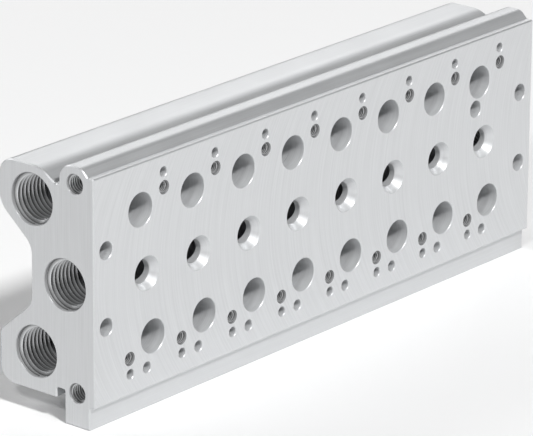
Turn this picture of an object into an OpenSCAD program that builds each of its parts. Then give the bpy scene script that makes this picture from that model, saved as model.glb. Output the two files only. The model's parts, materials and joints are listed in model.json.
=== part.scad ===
// Connection block with a row of valve stations: an extruded bar with five channels
// along its length, and the valve ports and screw holes drilled into its front face.
// X runs along the block, -Y points out of the front face and +Z is up.
// The origin is on the front face, at the centre of the four corner mounting holes.

/* [Stations] */
// Number of valve stations
stations = 8; // [3:1:12]
// Distance from one station to the next
pitch = 19; // [17:0.5:26]
// First station's centre from the left end
lead_in = 19; // [16:0.5:26]
// Last station's centre from the right end
run_out = 20.4; // [17:0.1:28]

/* [Front face and lip] */
// Front face above the middle line
face_up = 28.5; // [28:0.1:30]
// Front face below the middle line
face_down = 29.5; // [29:0.1:33]
// Depth of the flat ledge behind the face's top edge
ledge_d = 1.8; // [0.5:0.1:3]
// How far the lip is set back from the front face
lip_setback = 1.6; // [0.8:0.1:2.4]
// Thickness of the lip
lip_t = 8.1; // [7.2:0.1:9]
// How far the lip reaches below the face
lip_drop = 6; // [2:0.5:12]
// Width of the groove between the lip and the body
groove_w = 2.6; // [1.5:0.1:4]
// Height of the groove
groove_h = 2.6; // [1:0.1:3.5]

/* [Back of the block] */
// Depth of the block
depth = 30.6; // [29.5:0.1:38]
// Depth at the waist, behind the middle channel
waist_d = 20.2; // [17.5:0.1:24]
// Half height of the waist
waist_half = 7.4; // [6:0.1:8]
// Rise of the flared faces beside the waist, in degrees
flare_angle = 40.5; // [38:0.1:43]
// Depth of the ridge over the upper pilot channel
ridge_d = 11; // [9.6:0.1:11.6]
// Height of the ridge above the ledge
ridge_rise = 2.1; // [1.2:0.1:3]
// Slope that runs down into the valley behind the ridge, in degrees
valley_angle = 33; // [29:1:35]

/* [Main channels] */
// Height of the upper and lower channels from the middle line
channel_dz = 19.3; // [18.8:0.1:20]
// Depth of the upper channel's axis
upper_y = 19.7; // [19:0.1:20.7]
// Depth of the middle channel's axis
middle_y = 9.3; // [8.8:0.1:10.4]
// Depth of the lower channel's axis
lower_y = 18.8; // [18.2:0.1:20.6]
// Diameter of the main channels
channel_dia = 11.5; // [9:0.1:11.6]
// Thread diameter of the end ports, a quarter-inch pipe thread
port_thread_dia = 13.157; // [12:0.001:13.2]
// Length of thread in each end port
port_thread_len = 11.5; // [8:0.5:12]
// Wall over the upper channel's thread
crown_wall = 2.2; // [1.6:0.1:3]

/* [Pilot channels] */
// Depth of the upper pilot channel's axis
pilot_upper_y = 5.9; // [5.2:0.1:6.2]
// Height of the upper pilot channel above the middle line
pilot_upper_z = 26.1; // [25.8:0.1:26.4]
// Depth of the lower pilot channel's axis
pilot_lower_y = 5.6; // [4.8:0.1:6]
// Drop of the lower pilot channel below the middle line
pilot_lower_z = 26.8; // [26.4:0.1:27.2]
// Diameter of the pilot channels
pilot_channel_dia = 4.2; // [3.6:0.1:4.4]
// Thread diameter of the pilot ports at both ends
pilot_thread_dia = 5; // [4.6:0.1:5.4]
// Length of thread in each pilot port
pilot_thread_len = 8; // [5:0.5:12]

/* [Valve ports] */
// Diameter of the upper and lower valve ports
valve_port_dia = 8.6; // [6:0.1:9]
// Height of the upper and lower valve ports from the middle line
valve_port_dz = 16.7; // [16.7:0.1:17.6]
// Sideways offset of the upper and lower valve ports
valve_port_dx = 2.2; // [0:0.1:2.8]
// Mouth diameter of the middle valve port
seat_dia = 8.6; // [7.4:0.1:9.4]
// Diameter of the middle valve port behind its seat
seat_bore_dia = 6.1; // [4:0.1:6.6]
// Depth of the conical seat
seat_d = 2; // [1:0.1:2.6]

/* [Valve screws and pilot holes] */
// Diameter of the valve screws
screw_dia = 3; // [2.5:0.1:3.6]
// Depth of the valve screw holes
screw_d = 8; // [5:0.5:10]
// Height of the valve screws from the middle line
screw_dz = 20.2; // [19.8:0.1:20.4]
// Sideways offset of the valve screws
screw_dx = 6.3; // [5.9:0.1:6.6]
// Diameter of the pilot holes
pilot_dia = 2.5; // [1.5:0.1:2.6]
// Height of the pilot holes from the middle line
pilot_dz = 24.2; // [24:0.05:24.4]
// Sideways offset of the pilot holes
pilot_dx = 6.1; // [5.6:0.1:6.6]
// Diameter of the locating hole
locating_dia = 2.8; // [2:0.1:3]
// Depth of the locating hole
locating_d = 3; // [1.5:0.1:3.2]

/* [Mounting holes] */
// Diameter of the mounting holes
mount_dia = 4.5; // [3.4:0.1:4.8]
// Height of the mounting holes from the middle line
mount_dz = 9.7; // [9.5:0.1:9.9]
// Left mounting holes from the left end
mount_in_left = 4.4; // [3.5:0.1:6]
// Right mounting holes from the right end
mount_in_right = 5; // [3.5:0.1:6]
// Fifth mounting hole from the right end
fifth_in = 24.1; // [23.5:0.1:24.6]

/* [Edges] */
// Radius inside the corner under the front face
lip_fillet = 1; // [0.3:0.1:1.4]
// Radius at the front of the ridge
ridge_front_r = 3; // [1:0.1:3.5]
// Radius at the back of the ridge
ridge_back_r = 4; // [2:0.1:5]
// Radius in the bottom of the valley
valley_r = 1; // [0.4:0.1:1.5]
// Radius at the top of the back
back_top_r = 5; // [2:0.1:5.5]
// Radius where the upper flared face meets the back
flare_upper_r = 7; // [2:0.1:7.5]
// Radius where the lower flared face meets the back
flare_lower_r = 3; // [1:0.1:6]
// Radius at both corners of the waist
waist_r = 5; // [2:0.1:7]
// Radius at the bottom of the back
back_bottom_r = 4; // [1:0.1:5]
// Countersink at the mouth of each valve screw hole
screw_countersink = 0.3; // [0.1:0.05:0.4]
// Countersink at the mouth of each end port
port_countersink = 0.15; // [0.1:0.05:0.4]

/* [Hidden] */
$fn = 96;
ledge_slope = 45;
drill_point = 118;
// How far a port's full width is drilled past the axis of its channel
breakthrough = 0.8;
// How far each cut starts outside the block
overshoot = 1;

length = lead_in + (stations - 1) * pitch + run_out;
mount_span = length - mount_in_left - mount_in_right;
left_end = -mount_span / 2 - mount_in_left;
right_end = left_end + length;
station_x = [for (i = [0:stations - 1]) left_end + lead_in + i * pitch];

crown_r = port_thread_dia / 2 + crown_wall;
ridge_top = face_up + ridge_rise;
flare_edge = waist_half + (depth - waist_d) * tan(flare_angle);

// The sloping face behind the ridge touches the crown, which is round about the upper
// channel, and meets the ridge's upright back at the valley.
slope_touch = [upper_y - crown_r * sin(valley_angle), channel_dz + crown_r * cos(valley_angle)];
valley_z = slope_touch[1] - (slope_touch[0] - ridge_d) * tan(valley_angle);
crown_corner = upper_y - crown_r * tan(valley_angle / 2);

// Corners of the section as depth, height and radius, from the front face's lower edge
// under the lip, up the back and over the ridge to the front face's upper edge.
outline = [
    [0, -face_down, 0],
    [lip_setback, -face_down, lip_fillet],
    [lip_setback, -face_down - lip_drop, 0],
    [lip_setback + lip_t, -face_down - lip_drop, 0],
    [lip_setback + lip_t, -face_down + groove_h, 0],
    [lip_setback + lip_t + groove_w, -face_down + groove_h, 0],
    [lip_setback + lip_t + groove_w, -face_down, 0],
    [depth, -face_down, back_bottom_r],
    [depth, -flare_edge, flare_lower_r],
    [waist_d, -waist_half, waist_r],
    [waist_d, waist_half, waist_r],
    [depth, flare_edge, flare_upper_r],
    [depth, channel_dz + crown_r, back_top_r],
    [crown_corner, channel_dz + crown_r, crown_r],
    [ridge_d, valley_z, valley_r],
    [ridge_d, ridge_top, ridge_back_r],
    [ledge_d + ridge_rise / tan(ledge_slope), ridge_top, ridge_front_r],
    [ledge_d, face_up, 0],
    [0, face_up, 0]
];

function place(i) = let (c = outline[(i + len(outline)) % len(outline)]) [c[0], c[1]];
function unit(v) = v / norm(v);
function turns_outward(i) = cross(place(i) - place(i - 1), place(i + 1) - place(i)) > 0;

// Piece between a corner of the outline and the arc that rounds it
module corner_piece(i) {
    r = outline[i][2];
    back = unit(place(i - 1) - place(i));
    ahead = unit(place(i + 1) - place(i));
    half_angle = acos(back * ahead) / 2;
    reach = r / tan(half_angle);
    centre = place(i) + unit(back + ahead) * r / sin(half_angle);
    difference() {
        polygon([place(i), place(i) + reach * back, centre, place(i) + reach * ahead]);
        translate(centre) circle(r = r);
    }
}

module section() {
    difference() {
        polygon([for (i = [0:len(outline) - 1]) place(i)]);
        for (i = [0:len(outline) - 1])
            if (outline[i][2] > 0 && turns_outward(i)) corner_piece(i);
    }
    for (i = [0:len(outline) - 1])
        if (outline[i][2] > 0 && !turns_outward(i)) corner_piece(i);
}

// Length of a drill's point
function point_h(dia) = dia / 2 / tan(drill_point / 2);

// Half sections of the cuts as radius and depth, each from just outside the block's face
function bore_cut(dia, deep) = [
    [0, -overshoot], [dia / 2, -overshoot], [dia / 2, deep], [0, deep + point_h(dia)]
];
function screw_cut(dia, deep, sink) = [
    [0, -overshoot], [dia / 2 + sink + overshoot, -overshoot], [dia / 2, sink],
    [dia / 2, deep], [0, deep + point_h(dia)]
];
function seat_cut(mouth, dia, seat, deep) = [
    [0, -overshoot], [mouth / 2 + overshoot * (mouth - dia) / 2 / seat, -overshoot], [dia / 2, seat],
    [dia / 2, deep], [0, deep + point_h(dia)]
];
function channel_cut(dia, thread, tapped, sink) = [
    [0, -overshoot], [thread / 2 + sink + overshoot, -overshoot], [thread / 2, sink],
    [thread / 2, tapped], [dia / 2, tapped], [dia / 2, length - tapped], [thread / 2, length - tapped],
    [thread / 2, length - sink], [thread / 2 + sink + overshoot, length + overshoot],
    [0, length + overshoot]
];

// Turns a half section about an axis that runs into the front face
module into_front(x, z, half_section) {
    translate([x, 0, z]) rotate([-90, 0, 0]) rotate_extrude() polygon(half_section);
}

// Turns a half section about an axis that runs in from the left end
module into_end(y, z, half_section) {
    translate([left_end, y, z]) rotate([0, 90, 0]) rotate_extrude() polygon(half_section);
}

// Five channels from end to end, threaded and countersunk at both ends
module channels() {
    main = channel_cut(channel_dia, port_thread_dia, port_thread_len, port_countersink);
    pilot = channel_cut(pilot_channel_dia, pilot_thread_dia, pilot_thread_len, port_countersink);
    into_end(upper_y, channel_dz, main);
    into_end(middle_y, 0, main);
    into_end(lower_y, -channel_dz, main);
    into_end(pilot_upper_y, pilot_upper_z, pilot);
    into_end(pilot_lower_y, -pilot_lower_z, pilot);
}

// All that one valve needs: three ports, two screws, two pilot holes and a locating hole
module station(x) {
    screw = screw_cut(screw_dia, screw_d, screw_countersink);
    into_front(x - valve_port_dx, valve_port_dz, bore_cut(valve_port_dia, upper_y + breakthrough));
    into_front(x, 0, seat_cut(seat_dia, seat_bore_dia, seat_d, middle_y + breakthrough));
    into_front(x + valve_port_dx, -valve_port_dz, bore_cut(valve_port_dia, lower_y + breakthrough));
    into_front(x + screw_dx, screw_dz, screw);
    into_front(x - screw_dx, -screw_dz, screw);
    into_front(x + pilot_dx, pilot_dz, bore_cut(pilot_dia, pilot_upper_y + breakthrough));
    into_front(x - pilot_dx, -pilot_dz, bore_cut(pilot_dia, pilot_lower_y + breakthrough));
    into_front(x, -pilot_dz, bore_cut(locating_dia, locating_d));
}

// Four corner holes and one near the last station, right through the block
module mounting_holes() {
    through = bore_cut(mount_dia, depth + overshoot);
    for (x = [-mount_span / 2, mount_span / 2], z = [-mount_dz, mount_dz]) into_front(x, z, through);
    into_front(right_end - fifth_in, mount_dz, through);
}

module manifold_block() {
    color([0.80, 0.81, 0.82])
    difference() {
        translate([left_end, 0, 0]) rotate([90, 0, 90]) linear_extrude(height = length) section();
        channels();
        for (x = station_x) station(x);
        mounting_holes();
    }
}

manifold_block();
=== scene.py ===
# %% [markdown]
# # A connection block for a row of valves
#
# The real object is a bar of extruded aluminium, sawn to length, with five channels along it
# and eight stations of ports and screw holes drilled into its front face. It is one piece of
# metal, so its looks come from how it was made: the long faces keep fine lines from the
# extrusion die, the front face is milled, the ends are sawn, the holes show turned rings,
# and the threads are cut bright.
#
# The lesson builds it the same way. It draws the bar, shapes the drills, makes one finish for
# each way of working the metal, cuts the bar, and winds the threads last.

# %% The frame and the sizes it gives
import json
import math

import bmesh
import bpy
from mathutils import Matrix, Vector


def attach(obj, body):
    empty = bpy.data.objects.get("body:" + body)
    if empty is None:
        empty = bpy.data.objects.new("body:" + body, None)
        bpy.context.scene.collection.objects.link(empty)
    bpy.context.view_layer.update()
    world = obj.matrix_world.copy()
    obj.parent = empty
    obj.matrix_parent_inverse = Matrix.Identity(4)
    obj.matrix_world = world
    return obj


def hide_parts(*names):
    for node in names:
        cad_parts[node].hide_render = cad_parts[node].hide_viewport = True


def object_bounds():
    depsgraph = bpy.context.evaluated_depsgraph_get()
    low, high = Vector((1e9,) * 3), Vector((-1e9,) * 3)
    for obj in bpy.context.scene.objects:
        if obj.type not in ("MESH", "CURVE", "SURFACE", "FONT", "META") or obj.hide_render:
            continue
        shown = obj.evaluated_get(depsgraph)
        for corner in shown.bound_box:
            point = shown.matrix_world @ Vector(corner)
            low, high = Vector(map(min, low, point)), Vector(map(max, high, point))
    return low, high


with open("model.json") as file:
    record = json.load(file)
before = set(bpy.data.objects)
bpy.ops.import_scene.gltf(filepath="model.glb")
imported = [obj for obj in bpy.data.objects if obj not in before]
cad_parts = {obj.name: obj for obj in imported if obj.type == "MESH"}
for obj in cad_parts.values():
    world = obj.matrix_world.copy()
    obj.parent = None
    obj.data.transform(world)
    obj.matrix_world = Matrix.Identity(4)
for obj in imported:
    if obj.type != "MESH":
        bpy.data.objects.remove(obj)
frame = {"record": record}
cad_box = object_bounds()
MM = 0.001
mounts = {mount["name"]: mount for mount in frame["record"]["mounts"]}
print("CAD box in mm:", [[round(v / MM, 2) for v in corner] for corner in cad_box])

# %% [markdown]
# ## One way to write node trees
#
# Both the finishes and the repeated shapes are node trees. Linking sockets by hand is long
# and hard to read, so two small helpers do it. A `Wire` is a socket that can be added or
# multiplied like a number, and each sum leaves a Math node behind. `Sheet.add` makes any
# other node from its type, its settings and its inputs.

# %% Wires that can be calculated with
class Wire:
    """An output socket that behaves like a number in an expression."""

    def __init__(self, sheet, socket):
        self.sheet = sheet
        self.socket = socket

    def output(self, name):
        """Another output of the same node."""
        return Wire(self.sheet, self.socket.node.outputs[name])

    def _maths(self, operation, *values):
        return self.sheet.add("ShaderNodeMath", {"operation": operation}, dict(enumerate(values)))

    def __add__(self, other):
        return self._maths("ADD", self, other)

    def __sub__(self, other):
        return self._maths("SUBTRACT", self, other)

    def __rsub__(self, other):
        return self._maths("SUBTRACT", other, self)

    def __mul__(self, other):
        return self._maths("MULTIPLY", self, other)

    def __truediv__(self, other):
        return self._maths("DIVIDE", self, other)

    def __rtruediv__(self, other):
        return self._maths("DIVIDE", other, self)

    def __pow__(self, other):
        return self._maths("POWER", self, other)

    def __rpow__(self, other):
        return self._maths("POWER", other, self)

    __radd__ = __add__
    __rmul__ = __mul__


# %% A sheet that nodes are added to
class Sheet:
    """A node tree, with one method that makes any node."""

    def __init__(self, tree):
        self.tree = tree

    def add(self, kind, settings=None, inputs=None, output=0):
        """Make a node, set it, feed its inputs, and return the wire of one output."""
        node = self.tree.nodes.new(kind)
        for name, value in (settings or {}).items():
            setattr(node, name, value)
        for name, value in (inputs or {}).items():
            socket = node.inputs[name]
            if isinstance(value, Wire):
                self.tree.links.new(value.socket, socket)
            else:
                socket.default_value = value
        return Wire(self, node.outputs[output]) if len(node.outputs) else None

# %% [markdown]
# ## The bar
#
# The section is what the die gave it: a flat front, a ridge over the small upper channel, a
# valley, a crown that is round about the upper channel, two bulges behind the lower and
# upper channels with a waist between them, and a lip with a groove beneath. It could be a
# copy of the CAD mesh, but that has coarse arcs and no broken edges. Here the same corners
# are rounded again with finer steps, and corners that the CAD leaves sharp get the small
# radius that a die always leaves.
#
# The sizes of the threads are given first, because the crown keeps an even wall round the
# upper port's thread.

# %% Sizes of the threads in millimetres, and the steps in which each turn is drawn
PORT_THREAD = {"crest": 5.722, "root": 13.157 / 2, "pitch": 1.337, "deep": 11.5, "steps": 48}
PILOT_THREAD = {"crest": 2.067, "root": 2.5, "pitch": 0.8, "deep": 8.0, "steps": 32}
SCREW_THREAD = {"crest": 1.23, "root": 1.5, "pitch": 0.5, "deep": 8.0, "steps": 24}
print("thread radii in mm:", [size["root"] for size in (PORT_THREAD, PILOT_THREAD, SCREW_THREAD)])

# %% Sizes of the section and places of the channels, as depth and height in millimetres
DEPTH = 30.6
FACE_UP, FACE_DOWN = 28.5, -29.5
DIE_R = 0.4
UPPER, MIDDLE, LOWER = (19.7, 19.3), (9.3, 0.0), (18.8, -19.3)
UPPER_PILOT, LOWER_PILOT = (5.9, 26.1), (5.6, -26.8)
CROWN_WALL = 2.2
CROWN_R = PORT_THREAD["root"] + CROWN_WALL
WAIST_D, WAIST_HALF, FLARE = 20.2, 7.4, math.radians(40.5)
LIP_FRONT, LIP_BACK, LIP_FOOT = 1.6, 9.7, -35.5
GROOVE_BACK, GROOVE_TOP = 12.3, -26.9
RIDGE_TOP, RIDGE_FRONT, RIDGE_BACK = 30.6, 3.9, 11.0
LEDGE = 1.8
VALLEY = math.radians(33)

# %% Corners of the section as depth, height and radius
flare_edge = WAIST_HALF + (DEPTH - WAIST_D) * math.tan(FLARE)
touch = (UPPER[0] - CROWN_R * math.sin(VALLEY), UPPER[1] + CROWN_R * math.cos(VALLEY))
valley_z = touch[1] - (touch[0] - RIDGE_BACK) * math.tan(VALLEY)
crown_y = UPPER[0] - CROWN_R * math.tan(VALLEY / 2)
crown_z = UPPER[1] + CROWN_R
SECTION = [
    (0, FACE_DOWN, DIE_R), (LIP_FRONT, FACE_DOWN, 1), (LIP_FRONT, LIP_FOOT, DIE_R),
    (LIP_BACK, LIP_FOOT, DIE_R), (LIP_BACK, GROOVE_TOP, DIE_R), (GROOVE_BACK, GROOVE_TOP, DIE_R),
    (GROOVE_BACK, FACE_DOWN, DIE_R), (DEPTH, FACE_DOWN, 4), (DEPTH, -flare_edge, 3),
    (WAIST_D, -WAIST_HALF, 5), (WAIST_D, WAIST_HALF, 5), (DEPTH, flare_edge, 7),
    (DEPTH, crown_z, 5), (crown_y, crown_z, CROWN_R), (RIDGE_BACK, valley_z, 1),
    (RIDGE_BACK, RIDGE_TOP, 4), (RIDGE_FRONT, RIDGE_TOP, 3), (LEDGE, FACE_UP, DIE_R),
    (0, FACE_UP, DIE_R),
]
print("crown radius", round(CROWN_R, 3), "valley height", round(valley_z, 2), "in mm")


# %% Rounding the corners
ARC_STEP = math.radians(6)


def rounded(corners, step=ARC_STEP):
    """The outline with an arc of short edges in place of each corner."""
    points = []
    for i, (y, z, radius) in enumerate(corners):
        here = Vector((y, z))
        back = (Vector(corners[i - 1][:2]) - here).normalized()
        ahead = (Vector(corners[(i + 1) % len(corners)][:2]) - here).normalized()
        half = back.angle(ahead) / 2
        centre = here + (back + ahead).normalized() * radius / math.sin(half)
        start = here + back * radius / math.tan(half) - centre
        turn = start.angle_signed(here + ahead * radius / math.tan(half) - centre)
        count = max(2, math.ceil(abs(turn) / step))
        for k in range(count + 1):
            points.append(centre + Matrix.Rotation(-turn * k / count, 2) @ start)
    return points


outline = rounded(SECTION)
print("points round the section:", len(outline))

# %% [markdown]
# The bar is that outline drawn out along X. A sawn end is never knife sharp, because the
# edge is broken by hand with a file, so each end gets a small chamfer all round. The faces
# are told apart while they are made, as skin of the die, front and ends, because each of
# the three gets its own finish. A face belongs to the front if it looks forwards and lies
# at depth 0.

# %% Drawing the section out to a bar
LEFT, RIGHT = cad_box[0].x / MM, cad_box[1].x / MM
END_BREAK = 0.3
SKIN_SLOT, FRONT_SLOT, END_SLOT = range(3)
FACES_FRONT, AT_FRONT = -0.99, MM / 10


def inset(points, amount):
    """The outline moved inwards by an amount, each point along the middle of its two edges."""
    moved = []
    for i, point in enumerate(points):
        edge_in = (point - points[i - 1]).normalized()
        edge_out = (points[(i + 1) % len(points)] - point).normalized()
        normal = Vector((-(edge_in + edge_out).y, (edge_in + edge_out).x)).normalized()
        moved.append(point + normal * amount)
    return moved


def drawn_out(points, finishes):
    """A closed bar along X. finishes are the materials of skin, front and ends, in that order."""
    bm = bmesh.new()
    rings = []
    for end, inwards in ((LEFT, 1), (RIGHT, -1)):
        pair = []
        for along in (0, END_BREAK):
            ring = inset(points, END_BREAK - along)
            pair.append([bm.verts.new((end + inwards * along, *point)) for point in ring])
        rings += pair[::inwards]
    count = len(points)
    for near, far in zip(rings, rings[1:]):
        for i in range(count):
            j = (i + 1) % count
            bm.faces.new((near[i], near[j], far[j], far[i]))
    caps = bm.faces.new(rings[0][::-1]), bm.faces.new(rings[-1])
    bmesh.ops.scale(bm, vec=(MM, MM, MM), verts=bm.verts)
    bmesh.ops.recalc_face_normals(bm, faces=bm.faces)
    for face in bm.faces:
        is_front = face.normal.y < FACES_FRONT and face.calc_center_median().y < AT_FRONT
        face.material_index = FRONT_SLOT if is_front else SKIN_SLOT
    for cap in caps:
        cap.material_index = END_SLOT
    mesh = bpy.data.meshes.new("bar")
    bm.to_mesh(mesh)
    bm.free()
    for finish in finishes:
        mesh.materials.append(finish)
    return mesh

# %% [markdown]
# ## The drills
#
# A hole is cut by something turned, so each drill is a half section turned about its axis:
# a straight flank, a point of 118 degrees and a small bevel at the mouth, where a real hole
# is deburred. The half sections give radius and depth, the tool points along Z, and depth
# grows into the metal. Blender's own cylinder could stand in for a drill, but it has no
# point, bevel or seat.

# %% Turning a half section
def turned(name, half_section, segments, finish):
    """A closed tool about the Z axis from its half section, given in millimetres."""
    bm = bmesh.new()
    angles = [2 * math.pi * k / segments for k in range(segments)]
    rings = []
    for radius, depth in half_section:
        if radius == 0:
            rings.append([bm.verts.new((0, 0, depth * MM))])
            continue
        r, z = radius * MM, depth * MM
        rings.append([bm.verts.new((r * math.cos(a), r * math.sin(a), z)) for a in angles])
    for near, far in zip(rings, rings[1:]):
        for k in range(segments):
            around = [near[k % len(near)], near[(k + 1) % len(near)],
                      far[(k + 1) % len(far)], far[k % len(far)]]
            bm.faces.new(list(dict.fromkeys(around)))
    bmesh.ops.recalc_face_normals(bm, faces=bm.faces)
    mesh = bpy.data.meshes.new(name)
    bm.to_mesh(mesh)
    bm.free()
    mesh.materials.append(finish)
    return bpy.data.objects.new(name, mesh)


# %% Half sections of the drills
LENGTH = RIGHT - LEFT
LEAD = 0.05
BEVEL = 0.15
POINT_ANGLE = math.radians(118)


def drill(radius, deep, bevel=BEVEL):
    """A plain drill that cuts to a depth, not counting its point."""
    point = radius / math.tan(POINT_ANGLE / 2)
    return [(0, -LEAD), (radius + bevel + LEAD, -LEAD), (radius, bevel), (radius, deep),
            (0, deep + point)]


def seat_drill(mouth, radius, seat, deep):
    """A drill with a cone above it, which cuts the seat from the mouth inwards."""
    shank, point_end = drill(radius, deep)[-2:]
    return [(0, -LEAD), (mouth + BEVEL + LEAD, -LEAD), (mouth, BEVEL), (radius, seat),
            shank, point_end]


def channel_drill(radius, thread):
    """A channel from end to end, wider at both ends to the root of a thread."""
    root, deep = thread["root"], thread["deep"]
    wide = root + BEVEL + LEAD
    return [(0, -LEAD), (wide, -LEAD), (root, BEVEL), (root, deep), (radius, deep),
            (radius, LENGTH - deep), (root, LENGTH - deep), (root, LENGTH - BEVEL),
            (wide, LENGTH + LEAD), (0, LENGTH + LEAD)]

# %% [markdown]
# ## Rows of holes
#
# The same tool goes in again and again at a fixed pitch, which is what Geometry Nodes are
# for: a Mesh Line lays out the places, Instance on Points puts the tool at each one, and
# the tree ends in Realize Instances and Set Material, so that what comes out is plain mesh.
# A Python loop would do, but the tree keeps count, pitch and place as named inputs, and the
# threads use the same tree later.

# %% The tree that repeats a piece along the block
def new_tree(name, inputs):
    """A Geometry Nodes tree with these named inputs: the sheet to write it on and its wires."""
    tree = bpy.data.node_groups.new(name, "GeometryNodeTree")
    tree.interface.new_socket("Geometry", in_out="OUTPUT", socket_type="NodeSocketGeometry")
    for label, kind in inputs.items():
        tree.interface.new_socket(label, in_out="INPUT", socket_type="NodeSocket" + kind)
    sheet = Sheet(tree)
    given = sheet.add("NodeGroupInput")
    return sheet, {label: given.output(label) for label in inputs}


def finish_tree(sheet, geometry, finish):
    """The end of every tree: plain mesh in one finish."""
    plain = sheet.add("GeometryNodeRealizeInstances", inputs={"Geometry": geometry})
    coated = sheet.add("GeometryNodeSetMaterial", inputs={"Geometry": plain, "Material": finish})
    sheet.add("NodeGroupOutput", inputs={"Geometry": coated})
    return sheet.tree


def row_tree():
    """Copies of an object at a fixed pitch along X."""
    sheet, given = new_tree("row along the block", {
        "Piece": "Object", "Count": "Int", "Pitch": "Float", "First place": "Vector",
        "Turn": "Vector", "Finish": "Material"})
    step = sheet.add("ShaderNodeCombineXYZ", inputs={"X": given["Pitch"]})
    places = sheet.add("GeometryNodeMeshLine", {"mode": "OFFSET"}, {
        "Count": given["Count"], "Start Location": given["First place"], "Offset": step})
    piece = sheet.add("GeometryNodeObjectInfo", inputs={"Object": given["Piece"]}, output="Geometry")
    turn = sheet.add("FunctionNodeEulerToRotation", inputs={0: given["Turn"]})
    copies = sheet.add("GeometryNodeInstanceOnPoints", inputs={
        "Points": places, "Instance": piece, "Rotation": turn})
    return finish_tree(sheet, copies, given["Finish"])


ROW = row_tree()
print("row tree:", len(ROW.nodes), "nodes")

# %% [markdown]
# A modifier's inputs are set by each socket's identifier. When the tree has run, the result
# is taken as a plain mesh and the modifier's object is thrown away, because only the mesh
# is needed.

# %% Running a tree and keeping its mesh
def in_scene(name, data):
    """An object linked to the scene, which holds this mesh, light or camera."""
    holder = bpy.data.objects.new(name, data)
    bpy.context.scene.collection.objects.link(holder)
    return holder


def evaluated(carrier):
    """The plain mesh that an object's modifiers leave. The object itself is thrown away."""
    graph = bpy.context.evaluated_depsgraph_get()
    mesh = bpy.data.meshes.new_from_object(carrier.evaluated_get(graph), depsgraph=graph)
    bpy.data.objects.remove(carrier)
    return mesh


def mesh_from(tree, values, name):
    """The plain mesh that a tree makes from these values, given by the inputs' names."""
    carrier = in_scene(name, bpy.data.meshes.new(name))
    modifier = carrier.modifiers.new(name, "NODES")
    modifier.node_group = tree
    for item in tree.interface.items_tree:
        if item.in_out == "INPUT":
            modifier[item.identifier] = values[item.name]
    return evaluated(carrier)


def joined(name, meshes):
    """One object from several meshes, in which each face keeps its own finish."""
    finishes = list(dict.fromkeys(finish for mesh in meshes for finish in mesh.materials))
    bm = bmesh.new()
    for mesh in meshes:
        before = len(bm.faces)
        bm.from_mesh(mesh)
        bm.faces.ensure_lookup_table()
        for face in bm.faces[before:]:
            face.material_index = finishes.index(mesh.materials[face.material_index])
    whole = bpy.data.meshes.new(name)
    bm.to_mesh(whole)
    bm.free()
    for finish in finishes:
        whole.materials.append(finish)
    return in_scene(name, whole)

# %% [markdown]
# ## The finishes
#
# The whole block is bare aluminium, so one function makes every finish and only the marks
# of the tool differ. An image of scratches could do the same, but it would need unwrapping.
# Here the marks are read from Object coordinates in millimetres, so they keep their size
# and stay put from any side. They feed the colour a little, the roughness more, and a Bump
# node that bends the light over them. A slow cloud of noise varies the metal as well.

# %% Noise and colours
def noise(sheet, place, detail=3.0, scale=1.0, distortion=0.0):
    """Soft noise about 0.5."""
    return sheet.add("ShaderNodeTexNoise", inputs={
        "Vector": place, "Scale": scale, "Detail": detail, "Distortion": distortion})


def stretched(sheet, place, scale):
    """The place with each axis scaled: a mark is long where its scale is small."""
    return sheet.add("ShaderNodeMapping", inputs={"Vector": place, "Scale": scale})


def mixed(sheet, factor, first, second):
    """A colour between two colours."""
    return sheet.add("ShaderNodeMix", {"data_type": "RGBA"}, {
        "Factor": factor, "A": first, "B": second}, output="Result")


# %% Bare aluminium with tool marks
ALUMINIUM = (0.66, 0.67, 0.68)
DARKER, LIGHTER = 0.88, 1.08
CONTRAST = 1.7
CLOUD_SCALE, CLOUD_SHARE, CLOUD_SPREAD = 0.08, 0.3, 0.12
BUMP_STRENGTH = 0.5
# The colour of the painted shade, with some oil, at the roots of the threads
SHADE_AND_OIL = (0.05, 0.05, 0.05, 1)


def bare_aluminium(name, marks, tint=1.0, metallic=0.65, roughness=0.4, spread=0.1, relief=0.01,
                   shade=None):
    """A finish whose tool marks come from marks(sheet, place), a number about 0.5."""
    material = bpy.data.materials.new(name)
    material.use_nodes = True
    material.node_tree.nodes.clear()
    sheet = Sheet(material.node_tree)
    coordinates = sheet.add("ShaderNodeTexCoord", output="Object")
    place = sheet.add("ShaderNodeVectorMath", {"operation": "SCALE"}, {0: coordinates, "Scale": 1 / MM})
    tooled = (marks(sheet, place) - 0.5) * CONTRAST + 0.5
    cloud = noise(sheet, place, scale=CLOUD_SCALE)
    dark = [c * tint * DARKER for c in ALUMINIUM]
    light = [min(1, c * tint * LIGHTER) for c in ALUMINIUM]
    share = tooled * (1 - CLOUD_SHARE) + cloud * CLOUD_SHARE
    colour = mixed(sheet, share, (*dark, 1), (*light, 1))
    # shade, where given, mixes painted shade (with some oil) into the colour, darkest at a thread's root
    if shade:
        colour = mixed(sheet, shade(sheet), colour, SHADE_AND_OIL)
    rough = (tooled - 0.5) * spread + (cloud - 0.5) * CLOUD_SPREAD + roughness
    bump = sheet.add("ShaderNodeBump", inputs={
        "Strength": BUMP_STRENGTH, "Distance": relief * MM, "Height": tooled})
    surface = sheet.add("ShaderNodeBsdfPrincipled", inputs={
        "Base Color": colour, "Metallic": metallic, "Roughness": rough, "Normal": bump})
    sheet.add("ShaderNodeOutputMaterial", inputs={"Surface": surface})
    return material


# %% Marks of the die, the mill, the saw and the drill
DIE_LINE, DIE_STREAK, LINE_SHARE = (0.02, 2.6, 2.6), (0.006, 0.45, 0.45), 0.6
MILL_R, MILL_LINE, MILL_STREAK = 50, 1.9, 0.03
SAW_LINE, SAW_WAVE = (2.4, 2.4, 0.06), 0.3
RING_LINE, RING_STREAK = 3.2, 0.05


def die_lines(sheet, place):
    """Fine lines along X with broader streaks between them."""
    lines = noise(sheet, stretched(sheet, place, DIE_LINE))
    streaks = noise(sheet, stretched(sheet, place, DIE_STREAK), detail=2.0)
    return lines * LINE_SHARE + streaks * (1 - LINE_SHARE)


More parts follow.
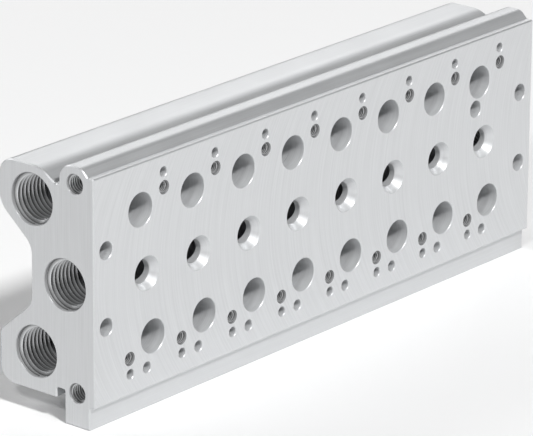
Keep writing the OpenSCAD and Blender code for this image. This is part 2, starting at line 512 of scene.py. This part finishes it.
def milled_arcs(sheet, place):
    """Arcs that a wide face mill leaves as it travels along the front."""
    along = sheet.add("ShaderNodeSeparateXYZ", inputs={"Vector": place})
    across = along.output("Z")
    bow = (MILL_R ** 2 - across * across) ** 0.5
    arc = sheet.add("ShaderNodeCombineXYZ", inputs={
        "X": (along + bow) * MILL_LINE, "Y": across * MILL_STREAK})
    return noise(sheet, arc)


def saw_lines(sheet, place):
    """Upright, slightly wavy lines of a saw over an end."""
    return noise(sheet, stretched(sheet, place, SAW_LINE), distortion=SAW_WAVE)


def rings_along(axis):
    """The marks of a drill, which are rings round a hole along one axis."""
    scale = [RING_STREAK] * 3
    scale[axis] = RING_LINE
    return lambda sheet, place: noise(sheet, stretched(sheet, place, scale), detail=2.0)

# %% [markdown]
# A cut thread is bright at its crest, and its root is dark, because little light reaches it
# and oil stays there. The finish paints that darkness into the colour: painted shade, with
# some oil. The thread meshes carry a number called groove for this, 0 at the crest and 1 at
# the root, and the finish reads it with an Attribute node.

# %% Painted shade and oil at the roots of the threads
ROOT_DARK = {"From Min": 0.15, "From Max": 0.95, "To Min": 0.0, "To Max": 0.9}


def root_shade_and_oil(sheet):
    """Painted shade, with some oil, that grows from the crest of a thread to its root."""
    groove = sheet.add("ShaderNodeAttribute", {"attribute_name": "groove"}, output="Fac")
    return sheet.add("ShaderNodeMapRange", inputs={"Value": groove, **ROOT_DARK})

# %% [markdown]
# Deep holes return little light, so the channels and the tapped holes are tinted darker
# than the faces, which is painted shade on top of the shade the lamps give, and the screw
# threads in them stay bright. Less metal in the shader keeps the walls of the holes from
# mirroring each other.

# %% The finishes of this block
ALONG_X, ALONG_Y = rings_along(0), rings_along(1)
skin = bare_aluminium("extruded skin", die_lines, roughness=0.42, spread=0.16)
front = bare_aluminium("milled front", milled_arcs, tint=1.03, roughness=0.36, spread=0.14,
                       relief=0.006)
sawn = bare_aluminium("sawn ends", saw_lines, tint=0.98, roughness=0.44, spread=0.18, relief=0.015)
drilled = bare_aluminium("drilled holes", ALONG_Y, tint=0.95, metallic=0.3, roughness=0.36,
                         spread=0.16, relief=0.015)
# The low tint of the bored channels is painted shade.
bored = bare_aluminium("bored channels", ALONG_X, tint=0.6, metallic=0.4, roughness=0.38,
                       spread=0.16, relief=0.015)
port_cut = bare_aluminium("port threads", ALONG_X, metallic=0.5, roughness=0.3, shade=root_shade_and_oil)
# The low tint of the tapped screw holes is painted shade.
tapped = bare_aluminium("tapped screw holes", ALONG_Y, tint=0.3, metallic=0.15, roughness=0.6)
screw_cut = bare_aluminium("screw threads", ALONG_Y, metallic=0.5, roughness=0.3, shade=root_shade_and_oil)
print("finishes:", [m.name for m in (skin, front, sawn, drilled, bored, port_cut, tapped, screw_cut)])

# %% [markdown]
# ## Cutting the bar
#
# The station pattern is read off the drawing: three ports that step sideways, a screw hole
# and a pilot hole at the upper right and lower left, and one blind hole for a locating pin.
# Each port and pilot hole ends just past the axis of the channel that it opens into. Eight
# such patterns stand at the pitch of the valves, and five plain holes go right through for
# the screws that hold the block.

# %% The drills of a station and of the mounting holes
PAST_AXIS = 0.8
PORT_R, SEAT_R, SEAT_DEEP = 4.3, 3.05, 2.0
PILOT_R, PIN_R, PIN_DEEP = 1.25, 1.4, 3.0
SCREW_SINK = 0.3
MOUNTING_R = 2.25
BIG_SIDES, MEDIUM_SIDES, SMALL_SIDES = 64, 48, 32
port = turned("port drill", drill(PORT_R, UPPER[0] + PAST_AXIS), BIG_SIDES, drilled)
lower_port = turned("lower port drill", drill(PORT_R, LOWER[0] + PAST_AXIS), BIG_SIDES, drilled)
seat_shape = seat_drill(PORT_R, SEAT_R, SEAT_DEEP, MIDDLE[0] + PAST_AXIS)
seat = turned("seat drill", seat_shape, BIG_SIDES, drilled)
screw_shape = drill(SCREW_THREAD["root"], SCREW_THREAD["deep"], SCREW_SINK)
screw = turned("screw drill", screw_shape, SMALL_SIDES, tapped)
upper_pilot_shape = drill(PILOT_R, UPPER_PILOT[0] + PAST_AXIS)
upper_pilot = turned("upper pilot drill", upper_pilot_shape, SMALL_SIDES, drilled)
lower_pilot_shape = drill(PILOT_R, LOWER_PILOT[0] + PAST_AXIS)
lower_pilot = turned("lower pilot drill", lower_pilot_shape, SMALL_SIDES, drilled)
pin = turned("locating drill", drill(PIN_R, PIN_DEEP), SMALL_SIDES, drilled)
through = turned("mounting drill", drill(MOUNTING_R, DEPTH + 1), MEDIUM_SIDES, drilled)

# %% Where each hole of a station stands, sideways and up from its middle
PITCH = 19.0
STATIONS = 8
PORT_X, PORT_Z = 2.2, 16.7
SCREW_X, SCREW_Z = 6.3, 20.2
PILOT_X, PILOT_Z = 6.1, 24.2
STATION = [(port, -PORT_X, PORT_Z), (seat, 0, 0), (lower_port, PORT_X, -PORT_Z),
           (screw, SCREW_X, SCREW_Z), (screw, -SCREW_X, -SCREW_Z),
           (upper_pilot, PILOT_X, PILOT_Z), (lower_pilot, -PILOT_X, -PILOT_Z), (pin, 0, -PILOT_Z)]
print("holes in the stations:", STATIONS * len(STATION))


# %% All the drills that enter the front
first_x = mounts["station_1"]["pos_m"][0] / MM
hold = mounts["mounting_holes"]["dims"]
span, rise = hold["spacing_x_mm"], hold["spacing_y_mm"] / 2
fifth_x, _, fifth_z = [v / MM for v in mounts["fifth_mounting_hole"]["pos_m"]]
INTO_FRONT = (-math.pi / 2, 0, 0)


def row(piece, count, pitch, first, turn, finish):
    """The mesh of a piece repeated along the block, with places given in millimetres."""
    return mesh_from(ROW, {
        "Piece": piece, "Count": count, "Pitch": pitch * MM, "Turn": turn,
        "First place": [v * MM for v in first], "Finish": finish}, piece.name)


front_rows = [row(tool, STATIONS, PITCH, (first_x + dx, 0, z), INTO_FRONT, tool.data.materials[0])
              for tool, dx, z in STATION]
front_rows += [row(through, 2, span, (-span / 2, 0, z), INTO_FRONT, drilled) for z in (-rise, rise)]
front_rows.append(row(through, 1, 0, (fifth_x, 0, fifth_z), INTO_FRONT, drilled))
front_drills = joined("front drills", front_rows)
print("front drills:", len(front_rows), "rows,", len(front_drills.data.polygons), "faces")

# %% [markdown]
# The channels are cut first and the front holes after them. The drills of one cut never
# touch each other, only the metal, which keeps each cut simple and exact. The Boolean
# modifier can carry the drills' material to the faces they leave, so a hole is born with
# its own finish.

# %% Channels, then the two cuts
MAIN_R, PILOT_CHANNEL_R = 5.75, 2.1
MAIN = channel_drill(MAIN_R, PORT_THREAD)
PILOT = channel_drill(PILOT_CHANNEL_R, PILOT_THREAD)
INTO_LEFT, INTO_RIGHT = (0, math.pi / 2, 0), (0, -math.pi / 2, 0)
CHANNELS = [(MAIN, UPPER), (MAIN, MIDDLE), (MAIN, LOWER), (PILOT, UPPER_PILOT), (PILOT, LOWER_PILOT)]
channel_meshes = []
for shape, place in CHANNELS:
    channel = turned("channel drill", shape, BIG_SIDES, bored)
    channel_meshes.append(row(channel, 1, 0, (LEFT, *place), INTO_LEFT, bored))
channel_drills = joined("channel drills", channel_meshes)


def cut(mesh, *drills):
    """The mesh after these drills have gone through it, one after another."""
    blank = in_scene("blank", mesh)
    for tool in drills:
        step = blank.modifiers.new(tool.name, "BOOLEAN")
        step.operation = "DIFFERENCE"
        step.object = tool
        step.solver = "EXACT"
        step.material_mode = "TRANSFER"
    result = evaluated(blank)
    for tool in drills:
        bpy.data.objects.remove(tool)
    return result


block_mesh = cut(drawn_out(outline, (skin, front, sawn)), channel_drills, front_drills)
print("block:", len(block_mesh.polygons), "faces, finishes", [m.name for m in block_mesh.materials])

# %% [markdown]
# Smooth shading averages the directions of the faces that meet at a corner, and a thin arc
# beside a wide flat face would tilt the light over the whole flat. Weighted normals let the
# larger face decide, so flats stay flat and arcs stay round.

# %% Shading the block and joining it to the frame
BLOCK_SHARP, THREAD_SHARP = 28, 40


def smooth_up_to(mesh, degrees):
    """Smooth shading, except over edges that turn by more than this."""
    mesh.polygons.foreach_set("use_smooth", [True] * len(mesh.polygons))
    mesh.set_sharp_from_angle(angle=math.radians(degrees))


def weighted(mesh):
    """The mesh with the larger faces deciding the normals at shared corners."""
    carrier = in_scene(mesh.name, mesh)
    modifier = carrier.modifiers.new("weights", "WEIGHTED_NORMAL")
    modifier.keep_sharp = True
    return evaluated(carrier)


smooth_up_to(block_mesh, BLOCK_SHARP)
block = in_scene("drilled_block", weighted(block_mesh))
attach(block, "root")
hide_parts("manifold_block")
print(block.name, "size in mm:", [round(side / MM, 2) for side in block.dimensions])

# %% [markdown]
# ## The threads
#
# A thread is a ridge that winds up the wall of its hole. Curve Spiral gives the path, a
# three-sided Curve Circle the ridge's own section, and Curve to Mesh sweeps one along the
# other. A bump could draw the rings, but it would leave the wall smooth where the light
# grazes it. With the spiral's normals held level, one corner of the section always points
# at the hole's axis, so the crest comes out sharp and even. The wide side is buried in the
# wall, where nobody sees it.
#
# A tap leaves no blunt start. Over the first quarter turn the ridge grows from a quarter of
# its size, and while it is small it is moved outwards, so that its foot stays in the wall.

# %% The tree that winds a thread
STARTS_AT, GROWS_BY = 0.25, 3
HALF_TURN = (0, 0, math.pi)
LEVEL = (1, 1, 0)


def led_in(sheet, given, path):
    """The path with a thin start near the wall, and the level place of each of its points."""
    along = sheet.add("GeometryNodeSplineParameter", output="Factor")
    full = sheet.add("ShaderNodeMath", {"operation": "MINIMUM"}, {
        0: along * given["Turns"] * GROWS_BY + STARTS_AT, 1: 1.0})
    place = sheet.add("ShaderNodeVectorMath", {"operation": "MULTIPLY"}, {
        0: sheet.add("GeometryNodeInputPosition"), 1: LEVEL})
    outwards = sheet.add("ShaderNodeVectorMath", {"operation": "NORMALIZE"}, {0: place})
    sunk = sheet.add("ShaderNodeVectorMath", {"operation": "SCALE"}, {
        0: outwards, "Scale": (1 - full) * given["Ridge"]})
    moved = sheet.add("GeometryNodeSetPosition", inputs={"Geometry": path, "Offset": sunk})
    thinned = sheet.add("GeometryNodeSetCurveRadius", inputs={"Curve": moved, "Radius": full})
    return thinned, place


def thread_tree():
    """A ridge of three sides that winds along Z, marked with its depth in the groove."""
    sheet, given = new_tree("thread ridge", {
        "Turns": "Float", "Steps": "Int", "Path radius": "Float", "Ridge": "Float",
        "Crest radius": "Float", "Wall radius": "Float", "Length": "Float", "Finish": "Material"})
    path = sheet.add("GeometryNodeCurveSpiral", inputs={
        "Resolution": given["Steps"], "Rotations": given["Turns"], "Height": given["Length"],
        "Start Radius": given["Path radius"], "End Radius": given["Path radius"], "Reverse": True})
    level = sheet.add("GeometryNodeSetCurveNormal", {"mode": "Z_UP"}, {"Curve": path})
    thinned, place = led_in(sheet, given, level)
    ridge = sheet.add("GeometryNodeCurvePrimitiveCircle", inputs={
        "Resolution": 3, "Radius": given["Ridge"]})
    inwards = sheet.add("GeometryNodeTransform", inputs={"Geometry": ridge, "Rotation": HALF_TURN})
    swept = sheet.add("GeometryNodeCurveToMesh", inputs={
        "Curve": thinned, "Profile Curve": inwards, "Fill Caps": True})
    radius = sheet.add("ShaderNodeVectorMath", {"operation": "LENGTH"}, {0: place}, "Value")
    groove = (radius - given["Crest radius"]) / (given["Wall radius"] - given["Crest radius"])
    marked = sheet.add("GeometryNodeStoreNamedAttribute", {"data_type": "FLOAT", "domain": "POINT"}, {
        "Geometry": swept, "Name": "groove", "Value": groove})
    return finish_tree(sheet, marked, given["Finish"])


THREAD = thread_tree()
print("thread tree:", len(THREAD.nodes), "nodes")


# %% One ridge for each size of thread
FIRST_PITCH = 0.75


def wound(name, size, finish):
    """The ridge of a thread along Z, from just inside the mouth to its depth."""
    ridge_r = size["pitch"] / math.sqrt(3)
    start = size["pitch"] * FIRST_PITCH
    length = size["deep"] - start
    mesh = mesh_from(THREAD, {
        "Turns": length / size["pitch"], "Steps": size["steps"],
        "Path radius": (size["crest"] + ridge_r) * MM, "Ridge": ridge_r * MM,
        "Crest radius": size["crest"] * MM, "Wall radius": size["root"] * MM,
        "Length": length * MM, "Finish": finish}, name)
    mesh.transform(Matrix.Translation((0, 0, start * MM)))
    radii = [math.hypot(v.co.x, v.co.y) / MM for v in mesh.vertices]
    print(name, "crest", round(min(radii), 3), "root", round(max(radii), 3), "faces", len(mesh.polygons))
    return bpy.data.objects.new(name, mesh)


pipe_ridge = wound("pipe thread", PORT_THREAD, port_cut)
pilot_ridge = wound("pilot thread", PILOT_THREAD, port_cut)
screw_ridge = wound("screw thread", SCREW_THREAD, screw_cut)

# %% [markdown]
# The ridges in the ends go where the record says that the ports are, and those in the screw
# holes where the station pattern puts them. Each of the two groups is one piece with its own
# finish. The tree turns a ridge and never mirrors it, so it stays right-handed at both ends.

# %% Threads in the end ports and the screw holes
RIDGES = {"upper_port": pipe_ridge, "middle_port": pipe_ridge, "lower_port": pipe_ridge,
          "upper_pilot_port": pilot_ridge, "lower_pilot_port": pilot_ridge}
end_threads = []
for side, end, turn in (("left", LEFT, INTO_LEFT), ("right", RIGHT, INTO_RIGHT)):
    for port_name, ridge in RIDGES.items():
        _, y, z = mounts[f"{side}_{port_name}"]["pos_m"]
        end_threads.append(row(ridge, 1, 0, (end, y / MM, z / MM), turn, port_cut))
screw_threads = [row(screw_ridge, STATIONS, PITCH, (first_x + dx, 0, z), INTO_FRONT, screw_cut)
                 for tool, dx, z in STATION if tool == screw]
for name, meshes in (("end_port_threads", end_threads), ("screw_hole_threads", screw_threads)):
    piece = joined(name, meshes)
    smooth_up_to(piece.data, THREAD_SHARP)
    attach(piece, "root")
    print(name, len(piece.data.polygons), "faces")

# %% [markdown]
# ## Floor and light
#
# The floor is plain and pale, at the height of the lip's underside, where the block stands.
# In the drawing the faces are white and each hole is dark in its upper part, so the key
# light is small and comes from above, in front and a little from the left: a small lamp
# throws the mouth's edge into the hole as a crisp shadow. It stands far off, so that the
# floor is as bright behind the block as before it. The end light lifts the left end, and
# the two wide ones at the back show the rear in other views. The world adds only a faint
# even light, so the depth of the holes goes dark by itself.

# %% The floor
FLOOR_REACH = 4.0
FLOOR_COLOUR, FLOOR_ROUGH = (0.93, 0.93, 0.93, 1), 0.8


def floor_finish():
    """A plain matt finish."""
    material = bpy.data.materials.new("pale floor")
    material.use_nodes = True
    shader = material.node_tree.nodes["Principled BSDF"]
    shader.inputs["Base Color"].default_value = FLOOR_COLOUR
    shader.inputs["Roughness"].default_value = FLOOR_ROUGH
    return material


floor_mesh = bpy.data.meshes.new("floor")
around = [(-1, -1), (1, -1), (1, 1), (-1, 1)]
corners = [(x * FLOOR_REACH, y * FLOOR_REACH, LIP_FOOT * MM) for x, y in around]
floor_mesh.from_pydata(corners, [], [(0, 1, 2, 3)])
floor_mesh.materials.append(floor_finish())
floor = in_scene("floor", floor_mesh)
print("floor at height", LIP_FOOT, "mm")


# %% The lights
WORLD_COLOUR, WORLD_STRENGTH = (0.93, 0.94, 0.95, 1), 0.09


def softbox(name, place, size, power):
    """A square soft light that looks at the block."""
    light = bpy.data.lights.new(name, "AREA")
    light.shape = "SQUARE"
    light.size = size
    light.energy = power
    lamp = in_scene(name, light)
    lamp.location = place
    lamp.rotation_euler = (-Vector(place)).to_track_quat("-Z", "Y").to_euler()
    print(name, "at", round(Vector(place).length, 2), "m,", power, "W")


softbox("key light", (-0.7, -2.2, 2.5), 0.4, 100)
softbox("end light", (-2.4, -1.0, 2.1), 0.4, 26)
softbox("rear light", (1.3, 1.1, 0.9), 0.9, 5)
softbox("back light", (-0.5, 1.6, 1.0), 1.0, 9)
world = bpy.data.worlds.new("studio")
world.use_nodes = True
background = world.node_tree.nodes["Background"]
background.inputs["Color"].default_value = WORLD_COLOUR
background.inputs["Strength"].default_value = WORLD_STRENGTH
bpy.context.scene.world = world
bpy.context.scene.view_settings.view_transform = "Standard"

# %% [markdown]
# ## The camera
#
# The viewpoint was fitted to the drawing: the camera stands off the left end, well back,
# with a long lens, and looks down at about 19 degrees. Its matrix is written from the eye,
# the point looked at and a small lean, and the four mounting holes are projected to see
# where they fall in the picture.

# %% Aiming the camera
PICTURE_W, PICTURE_H = 533, 436
LENS, SENSOR_W = 305.5, 36
LEAN = math.radians(-0.388)
eye, aim = Vector((-831.6, -674.2, 372.3)) * MM, Vector((-10.0, 10.2, -3.4)) * MM
forward = (aim - eye).normalized()
level_side = forward.cross(Vector((0, 0, 1))).normalized()
level_up = level_side.cross(forward)
up = level_up * math.cos(LEAN) + level_side * math.sin(LEAN)
side = forward.cross(up)
lens = bpy.data.cameras.new("camera")
lens.lens = LENS
lens.sensor_width = SENSOR_W
camera = in_scene("camera", lens)
camera.matrix_world = Matrix.Translation(eye) @ Matrix((side, up, -forward)).transposed().to_4x4()
bpy.context.scene.camera = camera

# %% Where the mounting holes fall
focal = LENS / SENSOR_W * PICTURE_W
for x, z in ((-span / 2, rise), (-span / 2, -rise), (span / 2, rise), (span / 2, -rise)):
    ray = Vector((x, 0, z)) * MM - eye
    far = ray.dot(forward)
    across, down = focal * ray.dot(side) / far, -focal * ray.dot(up) / far
    print("mounting hole at pixel", round(PICTURE_W / 2 + across, 1), round(PICTURE_H / 2 + down, 1))
